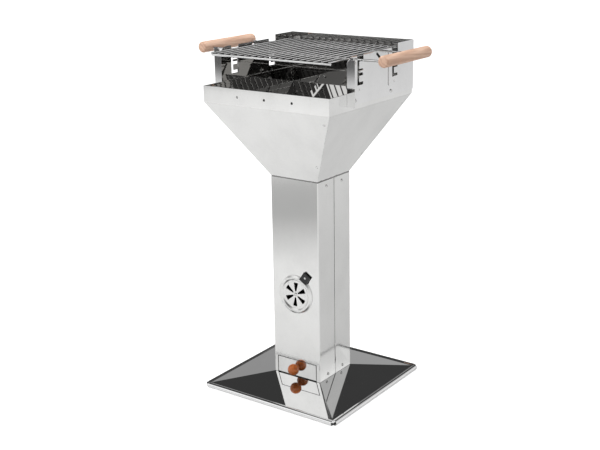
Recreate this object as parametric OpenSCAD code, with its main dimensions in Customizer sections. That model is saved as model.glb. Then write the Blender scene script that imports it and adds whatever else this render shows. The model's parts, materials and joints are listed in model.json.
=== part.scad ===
// Pedestal charcoal grill in polished sheet steel.
// The origin is on the floor at the centre of the base. The front, with the vent and drawer, faces -Y.

/* [Column] */
// Width of the square column across its flat faces
column_w = 140; // [120:1:170]
// Height of the column's top edge above the floor
column_top = 548; // [460:1:640]
// Thickness of the column's sheet
column_sheet = 1; // [0.8:0.1:1.2]
// Outside radius of the column's folded edges
column_bend = 2.5; // [2:0.1:4]
// Gap between the two shells at the side seams
seam_gap = 0.8; // [0.4:0.1:1.2]
// Width of the lips folded inwards along the seams
seam_lip_w = 10; // [6:1:14]

/* [Base] */
// Width of the square base over its rolled rim
base_w = 402; // [340:1:460]
// Diameter of the rolled rim outside the sloping panels
rim_d = 13; // [11:1:16]
// Height of the panels' outer edge above the floor
panel_edge_z = 11; // [9:0.5:12]
// Height of the panels where they meet the column
panel_top_z = 30; // [24:1:40]
// Thickness of the base's sheet
base_sheet = 1; // [0.8:0.1:1.5]
// Height of the tabs that stand up inside the column
collar_h = 27; // [22:1:34]

/* [Ash drawer] */
// Width of the drawer opening in the column
drawer_open_w = 120; // [100:1:122]
// Height of the drawer opening's top edge above the floor
drawer_open_top = 76; // [66:1:90]
// Length of the tray from front to back
tray_l = 120; // [90:1:125]
// Thickness of the tray's and drawer front's sheet
drawer_sheet = 1; // [0.8:0.1:1.2]
// Diameter of the wooden knob
knob_d = 29; // [22:1:34]
// Distance of the knob's centre in front of the drawer
knob_reach = 16; // [13:0.5:20]

/* [Air vent] */
// Height of the vent's centre above the floor
vent_z = 253; // [200:1:320]
// Outside diameter of the vent disc
vent_d = 100; // [84:1:110]
// Distance of the slots' outer ends from the vent's centre
vent_slot_out = 31; // [26:1:33]
// Distance of the slots' inner ends from the vent's centre
vent_slot_in = 8; // [7:0.5:10]
// Number of wedge-shaped slots
vent_slots = 6; // [4:1:8]
// Angle of the first slot and of the grip past it, in degrees
vent_turn = 27; // [0:1:59]
// Length of the black grip along the disc's radius
grip_l = 25; // [20:1:30]
// Width of the black grip
grip_w = 22; // [18:1:26]

/* [Funnel] */
// Width of the square funnel across its upright band
rim_across = 359; // [320:1:400]
// Height of the sloping panels, from the column's top to the fold under the band
slope_h = 188; // [150:1:230]
// Height of the upright band
band_h = 39; // [32:1:48]
// Thickness of the funnel's sheet
funnel_sheet = 1; // [0.8:0.1:1.2]
// Depth of the throat tabs that stand inside the column
throat_h = 34; // [26:1:44]
// Depth of the hem folded inwards along the band's top edge
hem_h = 8; // [6:0.5:10]
// Distance of the band's outer holes from its middle
band_hole_x = 78; // [70:1:90]
// Diameter of the band's holes
band_hole_d = 6; // [5:0.5:7]
// Height of the holes above the band's fold
band_hole_up = 20; // [18:1:26]

/* [Wind shield] */
// Height of the wind shield's back above the band
shield_rise = 90; // [80:1:120]
// How much lower the side plates are from their rear notches forwards
shield_step = 8; // [4:0.5:12]
// Distance of the side plates' front edge in front of the centre
shield_front = 110; // [96:1:130]
// Thickness of the wind shield's plates
shield_sheet = 1; // [0.8:0.1:1.2]
// Width of the flange folded outwards at the front edge
shield_flange_w = 20; // [14:1:26]
// Overlap of the plates over the band
shield_lap = 29; // [24:1:34]
// Radius of the plates' upper front corners
shield_corner_r = 20; // [10:1:28]

/* [Height brackets] */
// Width of a bracket
bracket_w = 43; // [40:1:50]
// Thickness of a bracket
bracket_sheet = 1.5; // [1:0.1:2]
// Width of the upright channel, wider than an arm
channel_w = 8; // [7:0.5:10]
// Distance of the top seat below the side plates' top edge
seat_down = 15; // [13:0.5:18]
// Distance of the middle seat below the top seat
mid_seat_down = 32; // [28:0.5:36]
// Distance of the low seat below the top seat
low_seat_down = 53; // [48:0.5:58]
// Place of the front brackets' channel, in front of the centre
channel_front = 67; // [60:1:72]
// Place of the rear brackets' channel, behind the centre
channel_rear = 84; // [76:1:92]

/* [Cooking grate] */
// Width of the grate over its outer rods
grate_w = 336; // [310:1:350]
// Length of the rods from front to back
grate_l = 320; // [290:1:336]
// Number of rods
rod_count = 18; // [12:1:22]
// Diameter of the rods
rod_d = 4; // [3:0.5:5]
// Diameter of the cross wires and arms
wire_d = 6; // [4:0.5:6.5]
// Distance of the arms behind their channel while they rest on the top seat
arm_back = 8; // [7.5:0.5:14]

/* [Handles] */
// Length of a wooden handle
handle_l = 200; // [180:1:230]
// Diameter of a wooden handle
handle_d = 27; // [22:1:32]
// Distance of the handles' axis from the centre
handle_x = 258; // [240:1:290]
// Height of the handles' axis above the grate's arms
handle_up = 4; // [0:0.5:6]

/* [Charcoal grate] */
// Width of the square charcoal grate over its frame
coal_w = 222; // [190:1:260]
// Number of bars of the charcoal grate
coal_bars = 9; // [5:1:10]
// Diameter of the charcoal grate's frame wire
coal_wire_d = 5; // [4:0.5:6]

/* [Hidden] */

$fn = 48;

// Gap between sheets that lie on each other
lie_gap = 0.1;
// Gap between pieces that slide on or rest on each other
rest_gap = 0.3;
// How far a cut runs past the face it starts from
overrun = 2;
// Depth that wires are welded into each other
weld = 0.8;
// Gap between wires that touch
weld_gap = 0.02;

column_half = column_w / 2;
column_inner = column_half - column_sheet;
base_half = base_w / 2;
panel_half = base_half - rim_d;
rim_half = rim_across / 2;
band_z = column_top + slope_h;
band_top = band_z + band_h;
shield_top = band_top + shield_rise;
side_top = shield_top - shield_step;
seat_z = side_top - seat_down;

// Screws of the column: shank, head, and distance of each pair from the middle of a face
screw_d = 4;
screw_head_d = 7.5;
screw_head_h = 2;
screw_l = 6;
screw_pair_x = 33;
foot_screw_up = 12;
top_screw_down = 15;
foot_screw_z = panel_top_z + foot_screw_up;
top_screw_z = column_top - top_screw_down;

// Points of a path and of sheets that are folded along it
function unit(a, b) = (b - a) / norm(b - a);
function leftward(v) = [-v[1], v[0]];
function side_path(p, d) = [
    for (i = [0 : len(p) - 1])
        let (last = len(p) - 1)
        let (before = leftward(unit(p[max(i - 1, 0)], p[max(i, 1)])))
        let (after = leftward(unit(p[min(i, last - 1)], p[min(i + 1, last)])))
        p[i] + d * (before + after) / (1 + before * after)
];
function reversed(p) = [for (i = [len(p) - 1 : -1 : 0]) p[i]];
function folded_sheet(p, t, inset = 0) = concat(side_path(p, inset), reversed(side_path(p, inset + t)));

// Square corner c of a path, rounded by r between the points before and after it
bend_steps = 4;
function bend(before, c, after, r) =
    let (u = unit(c, before))
    let (v = unit(c, after))
    [for (k = [0 : bend_steps])
        let (a = 90 * k / bend_steps)
        c + r * (u + v) - r * (v * cos(a) + u * sin(a))];

// Lays an outline of (distance from the axis, height) along the front side of the grill
module front_run(outline, reach) {
    rotate([90, 0, -90])
        linear_extrude(2 * reach, center = true)
            polygon(outline);
}

// Region between the two diagonals of the front side, pulled back from them by gap
module front_quarter(reach, height, gap = 0) {
    linear_extrude(height)
        polygon([[0, -gap], [-reach, -reach - gap], [reach, -reach - gap]]);
}

module mitred_front(outline, reach, height, gap = 0) {
    intersection() {
        front_run(outline, reach);
        front_quarter(reach, height, gap);
    }
}

// Rivet with a domed head outside its surface at z = 0 and a tail at the far end of its grip
module rivet(d, head_d, head_h, grip, tail_h) {
    rotate_extrude()
        polygon([
            [0, head_h], [head_d / 4, head_h * 0.9], [head_d * 0.42, head_h / 2], [head_d / 2, 0],
            [d / 2, 0], [d / 2, -grip], [head_d * 0.4, -grip], [head_d * 0.4, -grip - tail_h], [0, -grip - tail_h]
        ]);
}

// Pan-head screw: its head stands on z = 0 and its shank runs down
module pan_screw(d, head_d, head_h, length) {
    rotate_extrude()
        polygon([
            [0, head_h * 0.8], [head_d * 0.3, head_h], [head_d * 0.45, head_h * 0.7], [head_d / 2, 0],
            [d / 2, 0], [d / 2, d / 2 - length], [0, -length]
        ]);
}

// Base
// Distance of the collar tabs' ends from the column's corners
collar_end_in = 15;
// Width of the panels' strip inside the column
mouth_lip = 6;
// Distance of the notches in the rim outside the corners of the sloping panels
notch_out = 3;
// The rim is rolled in equal flats between these angles, in degrees, and stands on one of them
rim_roll_from = 132;
rim_roll_to = -156;
rim_roll_steps = 24;
rim_flat_angle = (rim_roll_from - rim_roll_to) / rim_roll_steps;
collar_r = column_inner - lie_gap;
collar_half_w = column_half - collar_end_in;
panel_fall = (panel_top_z - panel_edge_z) / (panel_half - column_half);
mouth_r = column_half - mouth_lip;
mouth_z = panel_top_z + panel_fall * mouth_lip;
notch_at = panel_half + notch_out;

// Sheet of one side: up the slope, then round the rolled rim
base_path = concat(
    [[mouth_r, mouth_z], [panel_half, panel_edge_z]],
    [for (k = [0 : rim_roll_steps])
        let (a = rim_roll_from + (rim_roll_to - rim_roll_from) * k / rim_roll_steps)
        [panel_half, 0] + rim_d / 2 * ([1, 1] + [cos(a), sin(a)] / cos(rim_flat_angle / 2))]
);

// Carries an outline of (distance from the axis, height) round the four sides
module square_ring(outline) {
    rotate(45)
        rotate_extrude($fn = 4)
            polygon([for (p = outline) [p[0] * sqrt(2), p[1]]]);
}

module foot_screw_places() {
    for (side = [90, 180, 270])
        rotate(side)
            for (x = [-screw_pair_x, screw_pair_x])
                translate([x, -column_half, foot_screw_z])
                    rotate([90, 0, 0])
                        children();
}

module base_plate() {
    color("silver")
        difference() {
            union() {
                square_ring(folded_sheet(base_path, -base_sheet));
                for (side = [90, 180, 270])
                    rotate(side)
                        translate([-collar_half_w, -collar_r, panel_top_z - base_sheet / 2])
                            cube([2 * collar_half_w, base_sheet, collar_h + base_sheet / 2]);
            }
            for (side = [0 : 90 : 270])
                rotate(side)
                    translate([notch_at, notch_at, -overrun])
                        cube([2 * rim_d, 2 * rim_d, panel_top_z]);
            foot_screw_places()
                translate([0, 0, -screw_l])
                    cylinder(d = screw_d + 2 * lie_gap, h = screw_l + overrun);
        }
}

// Column
// Gap between its top edge and the funnel's fold
fold_gap = 1.5;
shell_foot_z = panel_top_z + 2 * rest_gap;
shell_path = let (h = column_half, s = seam_gap / 2, lip = [-column_half + seam_lip_w, -seam_gap / 2])
    concat(
        [lip],
        bend(lip, [-h, -s], [-h, -h], column_bend),
        bend([-h, -s], [-h, -h], [h, -h], column_bend),
        bend([-h, -h], [h, -h], [h, -s], column_bend),
        bend([h, -h], [h, -s], [h - seam_lip_w, -s], column_bend),
        [[h - seam_lip_w, -s]]
    );

module top_screw_places(sides) {
    for (side = sides)
        rotate(side)
            for (x = [-screw_pair_x, screw_pair_x])
                translate([x, -column_half, top_screw_z])
                    rotate([90, 0, 0])
                        children();
}

module screw_hole() {
    translate([0, 0, -screw_l])
        cylinder(d = screw_d + 2 * lie_gap, h = screw_l + overrun);
}

// Half of the column, with its lips cut back where the tabs of the base and funnel stand inside it
module column_shell() {
    lip_room = 2 * (column_half - column_sheet);
    difference() {
        translate([0, 0, shell_foot_z])
            linear_extrude(column_top - fold_gap - shell_foot_z)
                polygon(folded_sheet(shell_path, column_sheet));
        translate([-lip_room / 2, -seam_lip_w, 0])
            cube([lip_room, seam_lip_w, panel_top_z + collar_h + overrun]);
        translate([-lip_room / 2, -seam_lip_w, column_top - throat_h - overrun])
            cube([lip_room, seam_lip_w, throat_h + 2 * overrun]);
        foot_screw_places()
            screw_hole();
        top_screw_places([90, 270])
            screw_hole();
    }
}

// One wedge-shaped vent slot pointing along +X
slot_half_angle = 12;
slot_arc_steps = 4;
module vent_slot(depth) {
    linear_extrude(depth, center = true)
        polygon(concat(
            [for (a = [-slot_half_angle, slot_half_angle]) vent_slot_in * [cos(a), sin(a)]],
            [for (k = [0 : slot_arc_steps])
                let (a = slot_half_angle * (1 - 2 * k / slot_arc_steps))
                vent_slot_out * [cos(a), sin(a)]]
        ));
}

// Frame on the column's front with +Z outwards and +Y up
module on_vent() {
    translate([0, -column_half, vent_z])
        rotate([90, 0, 0])
            children();
}

module vent_slots_cut(depth) {
    for (k = [0 : vent_slots - 1])
        rotate(vent_turn + 360 * k / vent_slots)
            vent_slot(depth);
}

pivot_d = 5;
module column_front_shell() {
    color("gainsboro")
        difference() {
            column_shell();
            translate([-drawer_open_w / 2, -column_half - overrun, 0])
                cube([drawer_open_w, column_sheet + column_bend + overrun, drawer_open_top]);
            on_vent() {
                vent_slots_cut(4 * column_sheet);
                cylinder(d = pivot_d, h = 4 * column_sheet, center = true);
            }
        }
}

module column_rear_shell() {
    color("gainsboro")
        difference() {
            rotate(180)
                column_shell();
            foot_screw_places()
                screw_hole();
            top_screw_places([180])
                screw_hole();
        }
}

module column_foot_screws() {
    color("gray")
        foot_screw_places()
            pan_screw(screw_d, screw_head_d, screw_head_h, screw_l);
}

module column_top_screws() {
    color("gray")
        top_screw_places([90, 180, 270])
            pan_screw(screw_d, screw_head_d, screw_head_h, screw_l);
}

// Ash drawer
runner_sheet = 1.2;
runner_leg = 14;
// Clearances of the runners above the base, and of the tray in the opening
runner_up = 1;
tray_side_gap = 3;
tray_top_gap = 5;
front_gap = 1.8;
// Height of the knob above the middle of the drawer front
knob_up = 1;
runner_z = mouth_z + runner_up;
runner_top = foot_screw_z + screw_head_d;
runner_face = collar_r - base_sheet - lie_gap;
tray_bottom = runner_z + runner_sheet + rest_gap;
tray_half = drawer_open_w / 2 - tray_side_gap;
tray_front = column_inner - drawer_sheet;
tray_top = drawer_open_top - tray_top_gap;
drawer_front_z = mouth_z + front_gap;
knob_z = (drawer_front_z + drawer_open_top) / 2 + knob_up;
knob_neck_d = 12;
knob_screw_d = 4;
knob_screw_reach = 12;

module drawer_runner() {
    difference() {
        rotate([90, 0, 0])
            linear_extrude(2 * (column_inner - seam_lip_w), center = true)
                polygon([
                    [runner_face, runner_z], [runner_face, runner_top], [runner_face - runner_sheet, runner_top],
                    [runner_face - runner_sheet, runner_z + runner_sheet],
                    [runner_face - runner_leg, runner_z + runner_sheet], [runner_face - runner_leg, runner_z]
                ]);
        foot_screw_places()
            screw_hole();
    }
}

module drawer_runner_right() {
    color("darkgray")
        drawer_runner();
}

module drawer_runner_left() {
    color("darkgray")
        mirror([1, 0, 0])
            drawer_runner();
}

module drawer_tray() {
    color("darkgray")
        difference() {
            translate([-tray_half, -tray_front, tray_bottom])
                cube([2 * tray_half, tray_l, tray_top - tray_bottom]);
            translate([-tray_half + drawer_sheet, -tray_front + drawer_sheet, tray_bottom + drawer_sheet])
                cube([2 * (tray_half - drawer_sheet), tray_l - 2 * drawer_sheet, tray_top]);
            translate([0, -tray_front, knob_z])
                rotate([90, 0, 0])
                    cylinder(d = knob_screw_d + 2 * lie_gap, h = 4 * drawer_sheet, center = true);
        }
}

module drawer_front() {
    color("gainsboro")
        difference() {
            translate([-drawer_open_w / 2 + front_gap, -column_half, drawer_front_z])
                cube([drawer_open_w - 2 * front_gap, column_half - tray_front, drawer_open_top - front_gap - drawer_front_z]);
            translate([0, -column_half, knob_z])
                rotate([90, 0, 0])
                    cylinder(d = knob_screw_d + 2 * lie_gap, h = 6 * drawer_sheet, center = true);
        }
}

// Frame on the drawer front with +Z outwards
module on_knob() {
    translate([0, -column_half, knob_z])
        rotate([90, 0, 0])
            children();
}

module drawer_knob() {
    color("sienna")
        on_knob()
            difference() {
                union() {
                    translate([0, 0, knob_reach])
                        sphere(d = knob_d);
                    cylinder(d = knob_neck_d, h = knob_reach);
                }
                cylinder(d = knob_screw_d, h = knob_screw_reach);
                translate([0, 0, -knob_d])
                    cylinder(d = knob_d, h = knob_d);
            }
}

module drawer_knob_screw() {
    color("gray")
        on_knob()
            translate([0, 0, -column_half + tray_front - drawer_sheet])
                mirror([0, 0, 1])
                    pan_screw(knob_screw_d - 2 * lie_gap, 2 * knob_screw_d, screw_head_h, knob_screw_reach);
}

// Air vent: heights are measured outwards from the column's face
vent_plate_h = 0.3;
vent_bead_h = 4.3;
vent_sheet = 0.8;
vent_r = vent_d / 2;
// Ear of the disc that carries the grip: its height, width and distance inside the grip's end
ear_h = 1.2;
ear_w = 14;
ear_in = 4;
ear_root = 2.4;
// Grip: distance over the disc's edge, length and height of its ridge, step down to the tab, gaps
grip_over = 5;
grip_neck = 6;
grip_top = 6.5;
grip_step = 1;
grip_lift = 0.2;
grip_edge_gap = 1.5;
grip_rivet_out = 9;
grip_rivet_d = 3;
grip_rivet_tail = 0.7;
pivot_head_d = 10;
pivot_head_h = 2.2;
pivot_tail_h = 1.5;
pivot_fit = 0.06;
grip_angle = vent_turn + 180 / vent_slots;
grip_start = vent_r - grip_over;
grip_rivet_r = vent_r + grip_rivet_out;
// Width of the raised bead round the disc
vent_bead_w = 14;
vent_bead_steps = 12;
vent_profile = concat(
    [[pivot_d / 2 + pivot_fit, vent_plate_h]],
    [for (k = [0 : vent_bead_steps])
        [vent_r - vent_bead_w * (1 - k / vent_bead_steps),
         vent_plate_h + (vent_bead_h - vent_plate_h) * (1 - cos(360 * k / vent_bead_steps)) / 2]]
);

module vent_disc() {
    color("gainsboro")
        on_vent()
            difference() {
                union() {
                    rotate_extrude()
                        polygon(folded_sheet(vent_profile, vent_sheet));
                    rotate(grip_angle)
                        translate([vent_r - ear_root, -ear_w / 2, ear_h])
                            cube([grip_start + grip_l - ear_in - vent_r + ear_root, ear_w, vent_sheet]);
                }
                vent_slots_cut(4 * vent_bead_h);
                rotate(grip_angle)
                    translate([grip_rivet_r, 0, 0])
                        cylinder(d = grip_rivet_d + 2 * lie_gap, h = 2 * vent_bead_h);
            }
}

module vent_grip() {
    neck_h = vent_bead_h + vent_sheet + grip_lift;
    color([0.08, 0.08, 0.08])
        on_vent()
            rotate(grip_angle)
                difference() {
                    rotate([90, 0, 0])
                        linear_extrude(grip_w, center = true)
                            polygon([
                                [grip_start, neck_h], [grip_start, grip_top],
                                [grip_start + grip_neck / 2, grip_top + grip_step],
                                [grip_start + grip_neck, grip_top],
                                [grip_start + grip_neck + 2 * grip_step, grip_top - grip_step],
                                [grip_start + grip_l - grip_step, grip_top - grip_step],
                                [grip_start + grip_l, grip_top - 2 * grip_step],
                                [grip_start + grip_l, ear_h + vent_sheet + lie_gap],
                                [vent_r + grip_edge_gap, ear_h + vent_sheet + lie_gap],
                                [vent_r + grip_edge_gap, neck_h]
                            ]);
                    translate([grip_rivet_r, 0, 0])
                        cylinder(d = grip_rivet_d + 2 * lie_gap, h = 2 * grip_top);
                }
}

module vent_grip_rivet() {
    color("silver")
        on_vent()
            rotate(grip_angle)
                translate([grip_rivet_r, 0, grip_top - grip_step])
                    rivet(grip_rivet_d, 2 * grip_rivet_d, grip_rivet_d / 3, grip_top - grip_step - ear_h, grip_rivet_tail);
}

module vent_pivot_rivet() {
    pivot_seat = vent_plate_h + vent_sheet + lie_gap;
    color("silver")
        on_vent()
            translate([0, 0, pivot_seat])
                rivet(pivot_d, pivot_head_d, pivot_head_h, pivot_seat + column_sheet, pivot_tail_h);
}

// Funnel
throat_r = column_inner - 4 * lie_gap;
// Distance of the throat tabs' ends from the column's corners
throat_end_in = 9;
throat_half_w = column_half - throat_end_in;
throat_z = column_top - throat_h;
funnel_rise = (band_z - column_top) / (rim_half - throat_r);
funnel_slope = atan(funnel_rise);
mitre_gap = 0.05;
tab_w = 18;
tab_end = 12;
tab_inset = funnel_sheet + lie_gap;
hem_gap = 0.3;
// Rivets of the hips: distance from the hip, below the fold and above the column, and sizes
hip_rivet_in = 10;
hip_rivet_down = 24;
hip_rivet_up = 45;
hip_rivet_d = 4;
hip_rivet_head_h = 1.4;
hip_rivet_tail = 1;
hip_rivet_zs = [band_z - hip_rivet_down, column_top + hip_rivet_up];

slope_path = [[throat_r, column_top], [rim_half, band_z]];
panel_path = [
    [throat_r, throat_z], [throat_r, column_top], [rim_half, band_z], [rim_half, band_top],
    [rim_half - 2 * funnel_sheet - hem_gap, band_top], [rim_half - 2 * funnel_sheet - hem_gap, band_top - hem_h]
];

// Distance of the funnel's outer face from the axis at height z
function funnel_r(z) = throat_r + (z - column_top) / funnel_rise;

// Places on the front panel beside its right-hand hip, with +Z out of the panel
module hip_rivet_places() {
    for (z = hip_rivet_zs)
        translate([funnel_r(z) - hip_rivet_in, -funnel_r(z), z])
            rotate([180 - funnel_slope, 0, 0])
                children();
}

module hip_rivet_hole() {
    translate([0, 0, -4 * funnel_sheet])
        cylinder(d = hip_rivet_d + 2 * lie_gap, h = 8 * funnel_sheet);
}

// Strip between the right-hand diagonal of the front side and a line w to its left
module hip_band(w) {
    linear_extrude(band_z - tab_end)
        polygon([[0, 0], [rim_across, -rim_across], [rim_across - w, -rim_across], [-w, 0]]);
}

// Strip of the sloping sheet beside the front side's right-hand hip, from inset inwards
module hip_strip(inset, t, w) {
    low = column_top + tab_end;
    intersection() {
        front_run(folded_sheet(slope_path, t, inset), rim_across);
        hip_band(w);
        translate([-rim_across, -rim_across, low])
            cube([2 * rim_across, rim_across, band_z - tab_end - low]);
    }
}

// Front panel: its left-hand edge carries the tab that lies behind the next panel's edge
module funnel_panel(screwed = true) {
    difference() {
        union() {
            mitred_front(folded_sheet(panel_path, funnel_sheet), rim_across, band_top + overrun, mitre_gap);
            rotate(-90)
                hip_strip(tab_inset, funnel_sheet, tab_w);
            mirror([1, 0, 0])
                hip_strip(funnel_sheet / 2, tab_inset + funnel_sheet / 2, 3 * funnel_sheet);
        }
        for (s = [-1, 1])
            translate([s * (throat_half_w + column_half), -column_half, throat_z])
                cube([2 * column_half, column_half, 2 * throat_h - 4 * overrun], center = true);
        for (x = [-band_hole_x, 0, band_hole_x])
            translate([x, -rim_half, band_z + band_hole_up])
                rotate([90, 0, 0])
                    cylinder(d = band_hole_d, h = 4 * funnel_sheet, center = true);
        hip_rivet_places()
            hip_rivet_hole();
        rotate(-90)
            hip_rivet_places()
                hip_rivet_hole();
        if (screwed)
            top_screw_places([0])
                screw_hole();
    }
}

module funnel_panel_front() {
    color("silver")
        funnel_panel(screwed = false);
}

module funnel_panel_right() {
    color("silver")
        rotate(90)
            funnel_panel();
}

module funnel_panel_back() {
    color("silver")
        rotate(180)
            funnel_panel();
}

module funnel_panel_left() {
    color("silver")
        rotate(270)
            funnel_panel();
}

module funnel_rivets() {
    color("gray")
        for (side = [0 : 90 : 270])
            rotate(side)
                hip_rivet_places()
                    rivet(hip_rivet_d, 1.8 * hip_rivet_d, hip_rivet_head_h, 2 * funnel_sheet + lie_gap, hip_rivet_tail);
}

// Wind shield: the side plates are drawn for the right-hand side
plate_in = rim_half + 2 * lie_gap;
plate_out = plate_in + shield_sheet;
shield_bottom = band_top - shield_lap;
back_flange_w = 18;
back_flange_y = plate_out + 2 * lie_gap;
shield_rear = back_flange_y + shield_sheet;
// Rim of the plate left round the bracket's seats
window_rim = 1;
window_w = 26;
corner_rivet_d = 4;
corner_rivet_head_h = 1.2;
corner_rivet_tail = 0.8;
// Distance of the corner rivets from the corner, above the bottom edge and below the top edge
corner_rivet_in = 9;
corner_rivet_up = 38;
corner_rivet_down = 16;
corner_rivet_x = plate_in - corner_rivet_in;
corner_rivet_zs = [shield_bottom + corner_rivet_up, shield_top - corner_rivet_down];
window_bottom = seat_z - low_seat_down - 2 * window_rim;
shield_screw_d = 5;
shield_screw_head_h = 2.4;
shield_screw_past = 2;
shield_screw_z = band_z + band_hole_up;
nut_d = 9;
nut_h = 3.5;
channels = [-channel_front, channel_rear];
// Slanted slot for a spit: its middle behind the centre and below the top edge, its length, width and slant
spit_slot_y = 21;
spit_slot_down = 12;
spit_slot_l = 17;
spit_slot_w = 6.5;
spit_slot_turn = -39;

// Lays a drawing of (y, z) upright, its thickness running from x to x + t
module upright(x, t) {
    translate([x, 0, 0])
        rotate([90, 0, 90])
            linear_extrude(t)
                children();
}

// Rectangle with its upper left corner rounded
module rounded_top_left(low, high, r) {
    difference() {
        translate(low)
            square(high - low);
        difference() {
            translate([low[0] - overrun, high[1] - r])
                square([r + overrun, r + overrun]);
            translate([low[0] + r, high[1] - r])
                circle(r);
        }
    }
}

module side_plate() {
    step_y = channel_rear - channel_w / 2 + notch_w;
    difference() {
        union() {
            upright(plate_in, shield_sheet) {
                rounded_top_left([-shield_front, shield_bottom], [shield_rear, side_top], shield_corner_r);
                translate([step_y, shield_bottom])
                    square([shield_rear - step_y, shield_top - shield_bottom]);
            }
            translate([0, -shield_front + shield_sheet, 0])
                rotate([90, 0, 0])
                    linear_extrude(shield_sheet)
                        rounded_top_left([plate_in, shield_bottom], [plate_out + shield_flange_w, side_top], shield_corner_r);
            translate([plate_out - back_flange_w, back_flange_y, shield_bottom])
                cube([back_flange_w, shield_sheet, shield_top - shield_bottom]);
        }
        upright(plate_in - overrun, shield_sheet + 2 * overrun)
            for (y = channels) {
                translate([y - channel_w / 2, seat_z - window_rim])
                    square([notch_w, shield_top]);
                translate([y - channel_w / 2 - window_rim, window_bottom])
                    square([window_w, seat_z - window_bottom]);
            }
        upright(plate_in - overrun, shield_sheet + 2 * overrun)
            spit_slot();
        for (y = [-band_hole_x, band_hole_x])
            translate([plate_in, y, shield_screw_z])
                rotate([0, 90, 0])
                    cylinder(d = shield_screw_d + 2 * lie_gap, h = 4 * shield_sheet, center = true);
        corner_rivet_places()
            cylinder(d = corner_rivet_d + 2 * lie_gap, h = 8 * shield_sheet, center = true);
        bracket_rivet_places()
            cylinder(d = bracket_rivet_d + 2 * lie_gap, h = 8 * shield_sheet, center = true);
    }
}

module spit_slot() {
    translate([spit_slot_y, side_top - spit_slot_down])
        rotate(spit_slot_turn) {
            square([spit_slot_l, spit_slot_w], center = true);
            for (s = [-1, 1])
                translate([s * spit_slot_l / 2, 0])
                    circle(d = spit_slot_w);
        }
}

// Rear right-hand corner, with +Z out of the back
module corner_rivet_places() {
    for (z = corner_rivet_zs)
        translate([corner_rivet_x, shield_rear, z])
            rotate([-90, 0, 0])
                children();
}

module wind_shield_right() {
    color("lightgray")
        side_plate();
}

module wind_shield_left() {
    color("lightgray")
        mirror([1, 0, 0])
            side_plate();
}

module wind_shield_back() {
    color("lightgray")
        difference() {
            translate([-rim_half, plate_in, shield_bottom])
                cube([rim_across, shield_sheet, shield_top - shield_bottom]);
            for (x = [-band_hole_x, band_hole_x])
                translate([x, plate_in, shield_screw_z])
                    rotate([90, 0, 0])
                        cylinder(d = shield_screw_d + 2 * lie_gap, h = 4 * shield_sheet, center = true);
            for (s = [0, 1])
                mirror([s, 0, 0])
                    corner_rivet_places()
                        cylinder(d = corner_rivet_d + 2 * lie_gap, h = 8 * shield_sheet, center = true);
        }
}

// Screw places on the right, back and left bands, with +Z outwards
module shield_screw_places() {
    for (side = [90, 180, 270])
        rotate(side)
            for (x = [-band_hole_x, band_hole_x])
                translate([x, -plate_out, shield_screw_z])
                    rotate([90, 0, 0])
                        children();
}

module wind_shield_screws() {
    color("gray")
        shield_screw_places()
            pan_screw(
                shield_screw_d - 2 * lie_gap, 1.8 * shield_screw_d, shield_screw_head_h,
                plate_out - rim_half + funnel_sheet + nut_h + shield_screw_past
            );
}

module wind_shield_nuts() {
    color("gray")
        shield_screw_places()
            translate([0, 0, rim_half - plate_out - funnel_sheet - nut_h])
                difference() {
                    cylinder(d = nut_d, h = nut_h, $fn = 6);
                    translate([0, 0, -overrun])
                        cylinder(d = shield_screw_d, h = nut_h + 2 * overrun);
                }
}

module wind_shield_corner_rivets() {
    color("gray")
        for (s = [0, 1])
            mirror([s, 0, 0])
                corner_rivet_places()
                    rivet(corner_rivet_d, 1.8 * corner_rivet_d, corner_rivet_head_h, shield_rear - plate_in, corner_rivet_tail);
}

// Height brackets, drawn for the right-hand side with the channel at y = 0
bracket_in = plate_out + lie_gap;
// Bracket below the window, in front of the channel, and below the side plates' top edge
bracket_foot = 18;
bracket_front = 19;
bracket_top_gap = 5;
bracket_corner_r = 5;
// Seats: height of their slots and reach behind the channel
seat_h = 7;
seat_reach = 16;
// Slit above the middle seat, and the rib pressed out of the strip between them
relief_h = 3.5;
rib_h = 5;
rib_in = 0.5;
rib_out = 2;
bracket_rivet_d = 3;
bracket_rivet_head_h = 1;
bracket_rivet_tail = 0.8;
// Places of a bracket's rivets: behind the channel and above the foot, then in front and below the top
bracket_rivet_low = [5, 9];
bracket_rivet_high = [12, 12];
bracket_low = window_bottom - bracket_foot;
bracket_top = side_top - bracket_top_gap;
rib_z = seat_z - mid_seat_down + seat_h;
notch_w = bracket_w - bracket_front + channel_w / 2;

module bracket_rivet_places() {
    for (y = channels)
        for (p = [[bracket_rivet_low[0], bracket_low + bracket_rivet_low[1]],
                  [-bracket_rivet_high[0], bracket_top - bracket_rivet_high[1]]])
            translate([bracket_in + bracket_sheet, y + p[0], p[1]])
                rotate([0, 90, 0])
                    children();
}

module bracket_outline() {
    difference() {
        translate([-bracket_front, bracket_low])
            square([bracket_w, bracket_top - bracket_low]);
        for (s = [0, 1])
            translate([s * bracket_w - bracket_front, bracket_low])
                mirror([s, 0])
                    difference() {
                        square(2 * bracket_corner_r, center = true);
                        translate([bracket_corner_r, bracket_corner_r])
                            circle(bracket_corner_r);
                    }
        // Open notch over the top seat
        translate([-channel_w / 2, seat_z])
            square([bracket_w, shield_top]);
        // Channel and the lower seats
        translate([-channel_w / 2, seat_z - low_seat_down])
            square([channel_w, low_seat_down + overrun]);
        for (down = [mid_seat_down, low_seat_down])
            translate([-channel_w / 2, seat_z - down])
                square([channel_w + seat_reach, seat_h]);
        translate([-channel_w / 2, rib_z + rib_h])
            square([channel_w + seat_reach, relief_h]);
    }
}

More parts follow.
